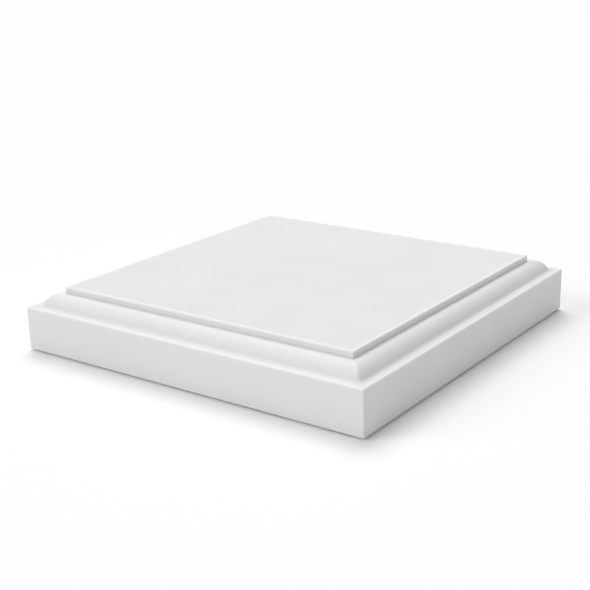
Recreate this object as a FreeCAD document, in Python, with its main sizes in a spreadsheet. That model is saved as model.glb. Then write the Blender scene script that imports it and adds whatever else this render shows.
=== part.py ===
import FreeCAD, Part
import math
import os
import Sketcher

# Newel post cap, cast solid in rigid urethane: a plain square fascia, a narrow ledge, a quarter-round
# mitred at the four corners, a level shoulder, and a thin square plate that is the flat top.
# Millimetres. +Z is up, and the origin is the centre of the flat underside.

DRIVING_SIZES = {
    # 9 5/8 inches square and 1 1/2 inches high over all
    "square_side": 244.475,
    "overall_height": 38.1,
    # the moulding's steps, from the top down
    "plate_thickness": 3.96875,
    "round_rise": 7.14375,
    "shoulder_width": 2.38125,
    "round_run": 8.73125,
    "ledge_width": 6.35,
    # the casting's soft edges
    "plate_arris_radius": 0.4,
    "mitre_radius": 2.5,
    "cove_radius": 2.0,
    "fascia_arris_radius": 1.1,
    "back_arris_radius": 0.5,
}

HALF_SIDE = "Sizes.square_side / 2"
ROUND_START = "Sizes.square_side / 2 - Sizes.ledge_width - Sizes.round_run"
PLATE_HALF = "Sizes.square_side / 2 - Sizes.ledge_width - Sizes.round_run - Sizes.shoulder_width"
PLATE_SEAT = "Sizes.overall_height - Sizes.plate_thickness"
FASCIA_HEIGHT = "Sizes.overall_height - Sizes.plate_thickness - Sizes.round_rise"
# an arc that leaves the shoulder level and comes down by its rise over its run
ROUND_RADIUS = "(Sizes.round_run ^ 2 + Sizes.round_rise ^ 2) / (2 * Sizes.round_rise)"

SIDES = 4
TOLERANCE = 0.01

START, END, CENTRE = 1, 2, 3
ORIGIN_POINT = (-1, 1)


def make_sizes():
    sheet = doc.addObject("Spreadsheet::Sheet", "Sizes")
    for row, (alias, value) in enumerate(DRIVING_SIZES.items(), start=1):
        sheet.set("A%d" % row, alias)
        sheet.set("B%d" % row, str(value))
        sheet.setAlias("B%d" % row, alias)
    doc.recompute()
    return sheet


def value_of(formula):
    """The number that a formula of the sheet's sizes gives."""
    return float(sizes.evalExpression(formula))


def origin_feature(body, role):
    for feature in body.Origin.OriginFeatures:
        if feature.Role == role:
            return feature
    raise ValueError("the body has no " + role)


def sketch_on(body, role, name):
    sketch = body.newObject("Sketcher::SketchObject", name)
    sketch.AttachmentSupport = (origin_feature(body, role), [""])
    sketch.MapMode = "FlatFace"
    return sketch


def add_lines(sketch, points):
    """Straight lines from each point to the next, joined end to end."""
    lines = []
    for begin, finish in zip(points, points[1:]):
        line = Part.LineSegment(FreeCAD.Vector(*begin, 0), FreeCAD.Vector(*finish, 0))
        lines.append(sketch.addGeometry(line))
    for line, following in zip(lines, lines[1:]):
        constrain(sketch, "Coincident", line, END, following, START)
    return lines


def add_arc(sketch, centre, radius, start_angle, end_angle):
    circle = Part.Circle(FreeCAD.Vector(*centre, 0), FreeCAD.Vector(0, 0, 1), radius)
    return sketch.addGeometry(Part.ArcOfCircle(circle, start_angle, end_angle))


def constrain(sketch, kind, *elements):
    return sketch.addConstraint(Sketcher.Constraint(kind, *elements))


def dimension(sketch, name, formula, kind, *elements):
    """A dimension that the sheet drives."""
    index = constrain(sketch, kind, *elements, value_of(formula))
    sketch.renameConstraint(index, name)
    sketch.setExpression("Constraints." + name, formula)


def check_constrained(sketch):
    doc.recompute()
    if not sketch.FullyConstrained:
        raise RuntimeError(sketch.Name + " isn't fully constrained")


def square_blank(body):
    """The full square block that the moulding is cut from."""
    sketch = sketch_on(body, "XY_Plane", "BlankOutline")
    low, high = -half_side, half_side
    corners = [(low, low), (high, low), (high, high), (low, high), (low, low)]
    front, right, rear, left = add_lines(sketch, corners)
    constrain(sketch, "Coincident", left, END, front, START)
    constrain(sketch, "Horizontal", front)
    constrain(sketch, "Horizontal", rear)
    constrain(sketch, "Vertical", right)
    constrain(sketch, "Vertical", left)
    constrain(sketch, "Equal", front, right)
    constrain(sketch, "Symmetric", front, START, rear, START, *ORIGIN_POINT)
    dimension(sketch, "side", "Sizes.square_side", "DistanceX", front, START, front, END)
    check_constrained(sketch)

    blank = body.newObject("PartDesign::Pad", "Blank")
    blank.Profile = sketch
    blank.setExpression("Length", "Sizes.overall_height")
    doc.recompute()
    return blank


def moulding_waste(body):
    """Section of what lies outside the moulding on one side, above the fascia.

    Its inner edge comes down the plate's side, goes out along the shoulder and over the
    quarter-round, turns through a small cove at the foot, and runs out along the ledge to the
    face of the fascia.
    """
    sketch = sketch_on(body, "XZ_Plane", "MouldingWaste")
    round_radius = value_of(ROUND_RADIUS)
    cove_radius = value_of("Sizes.cove_radius")

    # the two arcs touch on the line between their centres
    round_start = value_of(ROUND_START)
    round_centre = (round_start, plate_seat - round_radius)
    cove_level = fascia_height + cove_radius
    touch_angle = math.asin((cove_level - round_centre[1]) / (round_radius + cove_radius))
    cove_centre = (round_start + (round_radius + cove_radius) * math.cos(touch_angle), cove_level)

    corners = [
        (cove_centre[0], fascia_height),
        (half_side, fascia_height),
        (half_side, overall_height),
        (plate_half, overall_height),
        (plate_half, plate_seat),
        (round_start, plate_seat),
    ]
    ledge, outer, upper, plate_side, shoulder = add_lines(sketch, corners)
    quarter_round = add_arc(sketch, round_centre, round_radius, touch_angle, math.pi / 2)
    cove = add_arc(sketch, cove_centre, cove_radius, math.pi + touch_angle, math.pi * 3 / 2)

    constrain(sketch, "Horizontal", ledge)
    constrain(sketch, "Horizontal", upper)
    constrain(sketch, "Horizontal", shoulder)
    constrain(sketch, "Vertical", outer)
    constrain(sketch, "Vertical", plate_side)
    constrain(sketch, "Coincident", shoulder, END, quarter_round, END)
    constrain(sketch, "Tangent", quarter_round, START, cove, START)
    constrain(sketch, "Tangent", cove, END, ledge, START)
    # the quarter-round leaves the shoulder level
    constrain(sketch, "Vertical", quarter_round, CENTRE, quarter_round, END)

    dimension(sketch, "half_side", HALF_SIDE, "DistanceX", *ORIGIN_POINT, outer, START)
    dimension(sketch, "plate_half", PLATE_HALF, "DistanceX", *ORIGIN_POINT, plate_side, END)
    dimension(sketch, "round_start", ROUND_START, "DistanceX", *ORIGIN_POINT, shoulder, END)
    dimension(sketch, "fascia_height", FASCIA_HEIGHT, "DistanceY", *ORIGIN_POINT, outer, START)
    dimension(sketch, "plate_seat", PLATE_SEAT, "DistanceY", *ORIGIN_POINT, plate_side, END)
    dimension(sketch, "overall_height", "Sizes.overall_height", "DistanceY", *ORIGIN_POINT, upper, START)
    dimension(sketch, "round_radius", ROUND_RADIUS, "Radius", quarter_round)
    dimension(sketch, "cove_radius", "Sizes.cove_radius", "Radius", cove)
    check_constrained(sketch)
    return sketch


def cut_moulding(body, blank):
    """Cuts the moulding along one side, then along the other three, which mitres the corners."""
    one_side = body.newObject("PartDesign::Pocket", "MouldingSide")
    one_side.Profile = moulding_waste(body)
    one_side.SideType = "Symmetric"
    one_side.Type = "ThroughAll"
    doc.recompute()

    all_sides = body.newObject("PartDesign::PolarPattern", "MouldingSides")
    all_sides.Originals = [one_side]
    all_sides.Axis = (origin_feature(body, "Z_Axis"), [""])
    all_sides.Angle = 360
    all_sides.Occurrences = SIDES
    body.Tip = all_sides
    doc.recompute()

    one_cut = blank.Shape.Volume - one_side.Shape.Volume
    all_cuts = blank.Shape.Volume - all_sides.Shape.Volume
    if one_cut <= 0 or all_cuts <= (SIDES - 1) * one_cut:
        raise RuntimeError("the moulding isn't cut on every side")
    return all_sides


def near(first, second):
    return abs(first - second) < TOLERANCE


def spans(edge, low, high):
    return near(edge.BoundBox.ZMin, low) and near(edge.BoundBox.ZMax, high)


def stands_out(edge, distance):
    """Whether the edge's outermost point lies that far from the centre, along X or Y."""
    box = edge.BoundBox
    return near(max(-box.XMin, box.XMax, -box.YMin, box.YMax), distance)


def on_mitre(edge):
    box = edge.BoundBox
    within = box.ZMin > fascia_height - TOLERANCE and box.ZMax < plate_seat + TOLERANCE
    return within and box.ZLength > TOLERANCE


def on_fascia_arris(edge):
    return stands_out(edge, half_side) and not on_back_arris(edge)


def on_plate_arris(edge):
    return stands_out(edge, plate_half) and spans(edge, overall_height, overall_height)


def on_back_arris(edge):
    return spans(edge, 0, 0)


def round_edges(body, base, name, radius, wanted):
    """Rounds the edges of the base feature that wanted picks out."""
    names = []
    for number, edge in enumerate(base.Shape.Edges, start=1):
        if wanted(edge):
            names.append("Edge%d" % number)
    if not names:
        raise RuntimeError("there is no edge to round for " + name)
    rounding = body.newObject("PartDesign::Fillet", name)
    rounding.Base = (base, names)
    rounding.setExpression("Radius", radius)
    body.Tip = rounding
    doc.recompute()
    return rounding


def newel_post_cap():
    body = doc.addObject("PartDesign::Body", "NewelPostCap")
    body.Label = "newel_post_cap"
    body.Placement = FreeCAD.Placement()

    blank = square_blank(body)
    moulding = cut_moulding(body, blank)
    mitres = round_edges(body, moulding, "SoftMitres", "Sizes.mitre_radius", on_mitre)
    fascia = round_edges(body, mitres, "FasciaArris", "Sizes.fascia_arris_radius", on_fascia_arris)
    plate = round_edges(body, fascia, "PlateArris", "Sizes.plate_arris_radius", on_plate_arris)
    round_edges(body, plate, "BackArris", "Sizes.back_arris_radius", on_back_arris)
    return body


def check_document(parts):
    for item in doc.Objects:
        if "Invalid" in item.State or "Error" in item.State:
            raise RuntimeError(item.Name + " didn't rebuild")
    for part in parts:
        if part.Shape.isNull() or not part.Shape.isValid():
            raise RuntimeError(part.Label + " has no valid shape")
        if len(part.Shape.Solids) != 1:
            raise RuntimeError(part.Label + " isn't one solid")


doc = FreeCAD.newDocument("newel_post_cap")
sizes = make_sizes()
half_side = value_of(HALF_SIDE)
plate_half = value_of(PLATE_HALF)
overall_height = value_of("Sizes.overall_height")
plate_seat = value_of(PLATE_SEAT)
fascia_height = value_of(FASCIA_HEIGHT)

parts = [newel_post_cap()]
doc.recompute()
check_document(parts)

os.makedirs("parts", exist_ok=True)
for part in parts:
    part.Shape.exportStep("parts/" + part.Label + ".step")
    box = part.Shape.optimalBoundingBox()
    print(part.Label, "%.3f x %.3f x %.3f mm" % (box.XLength, box.YLength, box.ZLength))
    print("volume %.1f cm3" % (part.Shape.Volume / 1000))
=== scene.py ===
import math

import bpy
from mathutils import Matrix, Vector


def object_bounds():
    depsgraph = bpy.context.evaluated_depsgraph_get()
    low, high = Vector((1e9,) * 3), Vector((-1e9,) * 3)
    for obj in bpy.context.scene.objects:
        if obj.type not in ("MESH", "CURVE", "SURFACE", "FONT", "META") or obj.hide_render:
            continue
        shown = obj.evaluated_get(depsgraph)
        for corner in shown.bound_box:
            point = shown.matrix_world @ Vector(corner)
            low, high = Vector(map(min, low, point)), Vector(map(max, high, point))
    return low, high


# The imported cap, a casting in rigid urethane, gets its factory primer. Then come the pale floor, the
# soft studio light and the camera. Metres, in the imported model's own frame.

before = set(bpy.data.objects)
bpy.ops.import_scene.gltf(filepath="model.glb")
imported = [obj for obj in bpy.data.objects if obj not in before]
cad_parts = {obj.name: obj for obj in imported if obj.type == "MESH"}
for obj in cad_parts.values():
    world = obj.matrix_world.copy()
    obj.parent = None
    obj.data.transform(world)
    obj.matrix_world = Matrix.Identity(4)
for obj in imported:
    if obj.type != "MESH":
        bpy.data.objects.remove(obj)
cad_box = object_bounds()

MILLIMETRE = 0.001
CAP = "newel_post_cap"

# the camera, from the picture's own outline
CAMERA_AZIMUTH = 35.8
CAMERA_ELEVATION = 18.0
CAMERA_ROLL = -1.25
CAMERA_DISTANCE = 0.75
CAMERA_ASIDE = -0.0057
CAMERA_RAISED = 0.0026
FOCAL_PIXELS = 1176
PICTURE_SIZE = 590
SENSOR_WIDTH = 36.0

# the lamps, as distant soft sources: where each stands as seen from the cap, how strong, how soft
LAMPS = {
    "key": {"azimuth": -40, "elevation": 30, "strength": 1.015, "softness": 40},
    "back": {"azimuth": -140, "elevation": 60, "strength": 1.525, "softness": 40},
}
AMBIENT = 0.417
BACKDROP = 1.0

FLOOR_REACH = 40.0
FLOOR_COLOUR = 0.99
# the floor lies a little below the cap, so a thin dark line shows under the cap's edge
FLOOR_GAP = 1.1 * MILLIMETRE

# where the steps of the moulding lie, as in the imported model
FASCIA_TOP = 26.9875 * MILLIMETRE
COVE_TOP = 28.3 * MILLIMETRE
PLATE_SEAT = 34.13125 * MILLIMETRE
PLATE_HALF = 104.775 * MILLIMETRE
SEAT_FADE = 0.1 * MILLIMETRE

# nearly all values of a noise lie between these two
NOISE_LOW = 0.3
NOISE_HIGH = 0.7
# a speck is whole out to this share of its radius
SPECK_CORE = 0.4

# the primer: colours are linear greys, sizes and depths are metres
PRIMER_THIN = 0.788
PRIMER_THICK = 0.802
# a painted highlight on the quarter-round
ROUND_PAINTED_HIGHLIGHT = 0.855
# the duller grey of the stipple's grains, and the painted shade in the pinholes
GRAIN_DULLING_AND_PIT_SHADE = 0.70
SPECULAR_LEVEL = 0.12
SATIN_LOW = 0.52
SATIN_HIGH = 0.62
CLOUD_SIZE = 32 * MILLIMETRE
STIPPLE_SIZE = 0.9 * MILLIMETRE
STIPPLE_DEPTH = 0.04 * MILLIMETRE
STIPPLE_LOW = 0.35
STIPPLE_HIGH = 0.75
STIPPLE_TINT = 0.18
WAVE_SIZE = 24 * MILLIMETRE
WAVE_DEPTH = 0.07 * MILLIMETRE
PIT_SPACING = 14 * MILLIMETRE
PIT_RADIUS = 0.3 * MILLIMETRE
PIT_DEPTH = 0.08 * MILLIMETRE
PIT_SHARE = 0.35
# how far the pinholes are painted towards that grey, as painted shade
PIT_PAINTED_SHADE = 0.6

# the painted highlight on the arrises, a whiter colour which reaches down the side and inward on the
# level, and is whole out to the core's share of that
ARRIS_REACH = 1.5 * MILLIMETRE
ARRIS_INWARD = 3.2 * MILLIMETRE
ARRIS_CORE = 0.25
ARRIS_PAINTED_HIGHLIGHT = 0.915
ARRIS_HIGHLIGHT_TINT = 0.8
ARRIS_BURNISH = 0.12

# the planed foam of the back, and the lap of the spray onto it, measured in from its edges
BACK_REACH = 0.08 * MILLIMETRE
BACK_CORE = 0.5
LAP_WHOLE = 3 * MILLIMETRE
LAP_END = 9 * MILLIMETRE
LAP_WAVER = 8 * MILLIMETRE
BACK_ROUGHER = 0.2
FOAM_COLOUR = (0.74, 0.715, 0.655, 1.0)
FOAM_LIGHT = (0.79, 0.77, 0.72, 1.0)
# the cut-open cells, painted darker as painted shade
FOAM_CELL_PAINTED_SHADE = (0.56, 0.53, 0.46, 1.0)
STROKE_SIZE = 2.2 * MILLIMETRE
STROKE_STRETCH = 0.06
STROKE_DEPTH = 0.05 * MILLIMETRE
CELL_SPACING = 2.4 * MILLIMETRE
CELL_RADIUS = 0.28 * MILLIMETRE
CELL_DEPTH = 0.15 * MILLIMETRE
CELL_SHARE = 0.45


def link(tree, source, target):
    tree.links.new(source, target)


def new_material(name):
    material = bpy.data.materials.new(name)
    material.use_nodes = True
    material.node_tree.nodes.clear()
    return material


def node(tree, kind, **inputs):
    """A new node, with its inputs set by their names, in which _ stands for a space."""
    made = tree.nodes.new(kind)
    for name, value in inputs.items():
        made.inputs[name.replace("_", " ")].default_value = value
    return made


def grey(value):
    return (value, value, value, 1.0)


def calculate(tree, operation, *values):
    """A Math node's result; each value is a socket or a number."""
    made = tree.nodes.new("ShaderNodeMath")
    made.operation = operation
    for socket, value in zip(made.inputs, values):
        if isinstance(value, (int, float)):
            socket.default_value = value
        else:
            link(tree, value, socket)
    return made.outputs["Value"]


def ramp(tree, value, start, end, low=0.0, high=1.0):
    """Goes smoothly from low to high while the value goes from start to end."""
    made = node(tree, "ShaderNodeMapRange", From_Min=start, From_Max=end, To_Min=low, To_Max=high)
    made.interpolation_type = "SMOOTHSTEP"
    link(tree, value, made.inputs["Value"])
    return made.outputs["Result"]


def mixed(tree, factor, first, second):
    """A colour between two, each a socket or a colour."""
    made = tree.nodes.new("ShaderNodeMix")
    made.data_type = "RGBA"
    link(tree, factor, made.inputs["Factor"])
    for name, colour in (("A", first), ("B", second)):
        socket = [s for s in made.inputs if s.name == name and s.type == "RGBA"][0]
        if isinstance(colour, tuple):
            socket.default_value = colour
        else:
            link(tree, colour, socket)
    return [s for s in made.outputs if s.type == "RGBA"][0]


def sized_noise(tree, place, grain_size, detail=2.0):
    """Noise from 0 to 1 whose grains are about that size, in metres."""
    noise = node(tree, "ShaderNodeTexNoise", Scale=1 / grain_size, Detail=detail)
    link(tree, place, noise.inputs["Vector"])
    return noise.outputs["Fac"]


def specks(tree, place, spacing, radius, share):
    """1 in small round spots: one in each cell of the spacing, in that share of the cells."""
    cells = node(tree, "ShaderNodeTexVoronoi", Scale=1 / spacing)
    link(tree, place, cells.inputs["Vector"])
    spot = ramp(tree, cells.outputs["Distance"], radius / spacing, SPECK_CORE * radius / spacing)
    kept = tree.nodes.new("ShaderNodeSeparateColor")
    link(tree, cells.outputs["Color"], kept.inputs["Color"])
    chosen = calculate(tree, "LESS_THAN", kept.outputs["Red"], share)
    return calculate(tree, "MULTIPLY", spot, chosen)


def near_arris(tree, outward, height, half_side, level):
    """1 on the square arris of that half side and level, 0 beyond its reach down the side and inward."""
    aside = calculate(tree, "SUBTRACT", outward, half_side)
    aside = calculate(tree, "MULTIPLY", aside, ARRIS_REACH / ARRIS_INWARD)
    above = calculate(tree, "SUBTRACT", height, level)
    squares = calculate(tree, "MULTIPLY", aside, aside)
    squares = calculate(tree, "MULTIPLY_ADD", above, above, squares)
    distance = calculate(tree, "SQRT", squares)
    return ramp(tree, distance, ARRIS_REACH, ARRIS_CORE * ARRIS_REACH)


def primer_coat(tree, place, height, clouds, arrises):
    """The coat on the cast skin: its colour, with painted highlights on the quarter-round and the
    arrises and painted shade in the pinholes, and its relief in metres.
    """
    stipple = sized_noise(tree, place, STIPPLE_SIZE)
    waves = sized_noise(tree, place, WAVE_SIZE, detail=1.0)
    pits = specks(tree, place, PIT_SPACING, PIT_RADIUS, PIT_SHARE)

    clouding = ramp(tree, clouds, NOISE_LOW, NOISE_HIGH)
    colour = mixed(tree, clouding, grey(PRIMER_THIN), grey(PRIMER_THICK))
    # the quarter-round, from the cove to the shoulder, is painted a little whiter, as a painted
    # highlight
    above_cove = ramp(tree, height, FASCIA_TOP, COVE_TOP)
    below_plate = ramp(tree, height, PLATE_SEAT + SEAT_FADE, PLATE_SEAT)
    quarter_round = calculate(tree, "MULTIPLY", above_cove, below_plate)
    colour = mixed(tree, quarter_round, colour, grey(ROUND_PAINTED_HIGHLIGHT))
    # the stipple's grains are a little duller, the pinholes are painted darker as painted shade, and the
    # arrises are painted whiter as a painted highlight
    grains = ramp(tree, stipple, STIPPLE_LOW, STIPPLE_HIGH, 0.0, STIPPLE_TINT)
    colour = mixed(tree, grains, colour, grey(GRAIN_DULLING_AND_PIT_SHADE))
    # painted shade in the pinholes
    colour = mixed(tree, calculate(tree, "MULTIPLY", pits, PIT_PAINTED_SHADE), colour, grey(GRAIN_DULLING_AND_PIT_SHADE))
    colour = mixed(tree, calculate(tree, "MULTIPLY", arrises, ARRIS_HIGHLIGHT_TINT), colour, grey(ARRIS_PAINTED_HIGHLIGHT))

    relief = calculate(tree, "MULTIPLY", stipple, STIPPLE_DEPTH)
    relief = calculate(tree, "MULTIPLY_ADD", waves, WAVE_DEPTH, relief)
    relief = calculate(tree, "MULTIPLY_ADD", pits, -PIT_DEPTH, relief)
    return colour, relief


def planed_foam(tree, place):
    """The back as the planer leaves it, with long shallow strokes and the cells that it cuts open, which
    are painted darker as painted shade: its colour, and its relief in metres."""
    stretch = tree.nodes.new("ShaderNodeMapping")
    stretch.inputs["Scale"].default_value = (1.0, STROKE_STRETCH, 1.0)
    link(tree, place, stretch.inputs["Vector"])
    strokes = sized_noise(tree, stretch.outputs["Vector"], STROKE_SIZE, detail=3.0)
    cells = specks(tree, place, CELL_SPACING, CELL_RADIUS, CELL_SHARE)

    colour = mixed(tree, ramp(tree, strokes, NOISE_LOW, NOISE_HIGH), FOAM_COLOUR, FOAM_LIGHT)
    # painted shade in the cut-open cells
    colour = mixed(tree, cells, colour, FOAM_CELL_PAINTED_SHADE)
    relief = calculate(tree, "MULTIPLY", strokes, STROKE_DEPTH)
    relief = calculate(tree, "MULTIPLY_ADD", cells, -CELL_DEPTH, relief)
    return colour, relief


def primed_urethane():
    """White factory primer on the cast skin, and the planed foam of the back, which it laps onto."""
    material = new_material("primed_urethane")
    tree = material.node_tree
    place = tree.nodes.new("ShaderNodeTexCoord").outputs["Object"]
    axes = tree.nodes.new("ShaderNodeSeparateXYZ")
    link(tree, place, axes.inputs["Vector"])
    height = axes.outputs["Z"]
    across_x = calculate(tree, "ABSOLUTE", axes.outputs["X"])
    across_y = calculate(tree, "ABSOLUTE", axes.outputs["Y"])
    outward = calculate(tree, "MAXIMUM", across_x, across_y)

    low, high = cad_box
    half_side = (high.x - low.x) / 2
    fascia_arris = near_arris(tree, outward, height, half_side, FASCIA_TOP)
    plate_arris = near_arris(tree, outward, height, PLATE_HALF, high.z)
    arrises = calculate(tree, "ADD", fascia_arris, plate_arris)

    # the spray's faint clouds vary the coat's colour and gloss, and how far it laps onto the back
    clouds = sized_noise(tree, place, CLOUD_SIZE, detail=3.0)
    primer, cast_relief = primer_coat(tree, place, height, clouds, arrises)
    foam, back_relief = planed_foam(tree, place)

    # 1 on the bare foam, which begins where the lap ends
    wavering = calculate(tree, "MULTIPLY_ADD", clouds, LAP_WAVER, outward)
    lap_border = half_side + LAP_WAVER / 2
    bare = ramp(tree, wavering, lap_border - LAP_WHOLE, lap_border - LAP_END)
    underside = ramp(tree, height, BACK_REACH, BACK_CORE * BACK_REACH)
    back = calculate(tree, "MULTIPLY", bare, underside)

    difference = calculate(tree, "SUBTRACT", back_relief, cast_relief)
    relief = calculate(tree, "MULTIPLY_ADD", difference, back, cast_relief)
    bump = node(tree, "ShaderNodeBump", Strength=1.0, Distance=1.0)
    link(tree, relief, bump.inputs["Height"])

    roughness = ramp(tree, clouds, NOISE_LOW, NOISE_HIGH, SATIN_HIGH, SATIN_LOW)
    roughness = calculate(tree, "MULTIPLY_ADD", arrises, -ARRIS_BURNISH, roughness)
    roughness = calculate(tree, "MULTIPLY_ADD", back, BACK_ROUGHER, roughness)

    surface = node(tree, "ShaderNodeBsdfPrincipled", Specular_IOR_Level=SPECULAR_LEVEL)
    link(tree, mixed(tree, back, primer, foam), surface.inputs["Base Color"])
    link(tree, roughness, surface.inputs["Roughness"])
    link(tree, bump.outputs["Normal"], surface.inputs["Normal"])
    output = tree.nodes.new("ShaderNodeOutputMaterial")
    link(tree, surface.outputs["BSDF"], output.inputs["Surface"])
    return material


def dress_cap():
    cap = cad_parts[CAP]
    cap.data.materials.clear()
    cap.data.materials.append(primed_urethane())


def floor_material():
    """Plain pale floor that keeps the cap's shadow."""
    material = new_material("floor")
    tree = material.node_tree
    diffuse = node(tree, "ShaderNodeBsdfDiffuse", Color=grey(FLOOR_COLOUR))
    output = tree.nodes.new("ShaderNodeOutputMaterial")
    link(tree, diffuse.outputs["BSDF"], output.inputs["Surface"])
    return material


def make_floor():
    reach = FLOOR_REACH
    outline = ((-reach, -reach), (reach, -reach), (reach, reach), (-reach, reach))
    mesh = bpy.data.meshes.new("floor")
    mesh.from_pydata([(x, y, -FLOOR_GAP) for x, y in outline], [], [(0, 1, 2, 3)])
    mesh.materials.append(floor_material())
    floor = bpy.data.objects.new("floor", mesh)
    bpy.context.scene.collection.objects.link(floor)


def seen_directly(tree):
    """1 for the rays that see the surroundings: from the camera, by a reflection or through glass."""
    paths = tree.nodes.new("ShaderNodeLightPath")
    seen = paths.outputs["Is Camera Ray"]
    for name in ("Is Glossy Ray", "Is Transmission Ray"):
        seen = calculate(tree, "ADD", seen, paths.outputs[name])
        seen.node.use_clamp = True
    return seen


def make_world():
    """Even light from all around, and the white backdrop that the camera sees."""
    world = bpy.data.worlds.new("studio")
    bpy.context.scene.world = world
    world.use_nodes = True
    tree = world.node_tree
    tree.nodes.clear()
    ambient = node(tree, "ShaderNodeBackground", Color=grey(1.0), Strength=AMBIENT)
    backdrop = node(tree, "ShaderNodeBackground", Color=grey(1.0), Strength=BACKDROP)
    mix = tree.nodes.new("ShaderNodeMixShader")
    link(tree, seen_directly(tree), mix.inputs["Fac"])
    link(tree, ambient.outputs["Background"], mix.inputs[1])
    link(tree, backdrop.outputs["Background"], mix.inputs[2])
    output = tree.nodes.new("ShaderNodeOutputWorld")
    link(tree, mix.outputs["Shader"], output.inputs["Surface"])


def direction(azimuth, elevation):
    """Unit vector from the cap towards a point at that azimuth, 0 in front and 90 to the right."""
    a, e = math.radians(azimuth), math.radians(elevation)
    return Vector((math.sin(a) * math.cos(e), -math.cos(a) * math.cos(e), math.sin(e)))


def make_lamps():
    for name, lamp in LAMPS.items():
        light = bpy.data.lights.new(name, "SUN")
        light.energy = lamp["strength"]
        light.angle = math.radians(lamp["softness"])
        sun = bpy.data.objects.new(name, light)
        towards = direction(lamp["azimuth"], lamp["elevation"])
        sun.rotation_euler = (-towards).to_track_quat("-Z", "Y").to_euler()
        bpy.context.scene.collection.objects.link(sun)


def make_camera():
    """Looks at the middle of the cap, moved a little aside and up, and rolled as the picture is."""
    low, high = cad_box
    target = (low + high) / 2
    back = direction(CAMERA_AZIMUTH, CAMERA_ELEVATION)
    azimuth, roll = math.radians(CAMERA_AZIMUTH), math.radians(CAMERA_ROLL)
    level = Vector((math.cos(azimuth), math.sin(azimuth), 0))
    upright = back.cross(level)
    right = math.cos(roll) * level + math.sin(roll) * upright
    up = back.cross(right)
    place = target + back * CAMERA_DISTANCE + right * CAMERA_ASIDE + up * CAMERA_RAISED

    data = bpy.data.cameras.new("camera")
    data.sensor_width = SENSOR_WIDTH
    data.lens = FOCAL_PIXELS / PICTURE_SIZE * SENSOR_WIDTH
    camera = bpy.data.objects.new("camera", data)
    camera.matrix_world = Matrix((
        (right.x, up.x, back.x, place.x),
        (right.y, up.y, back.y, place.y),
        (right.z, up.z, back.z, place.z),
        (0, 0, 0, 1),
    ))
    bpy.context.scene.collection.objects.link(camera)
    bpy.context.scene.camera = camera


dress_cap()
make_floor()
make_world()
make_lamps()
make_camera()
bpy.context.scene.view_settings.view_transform = "Standard"
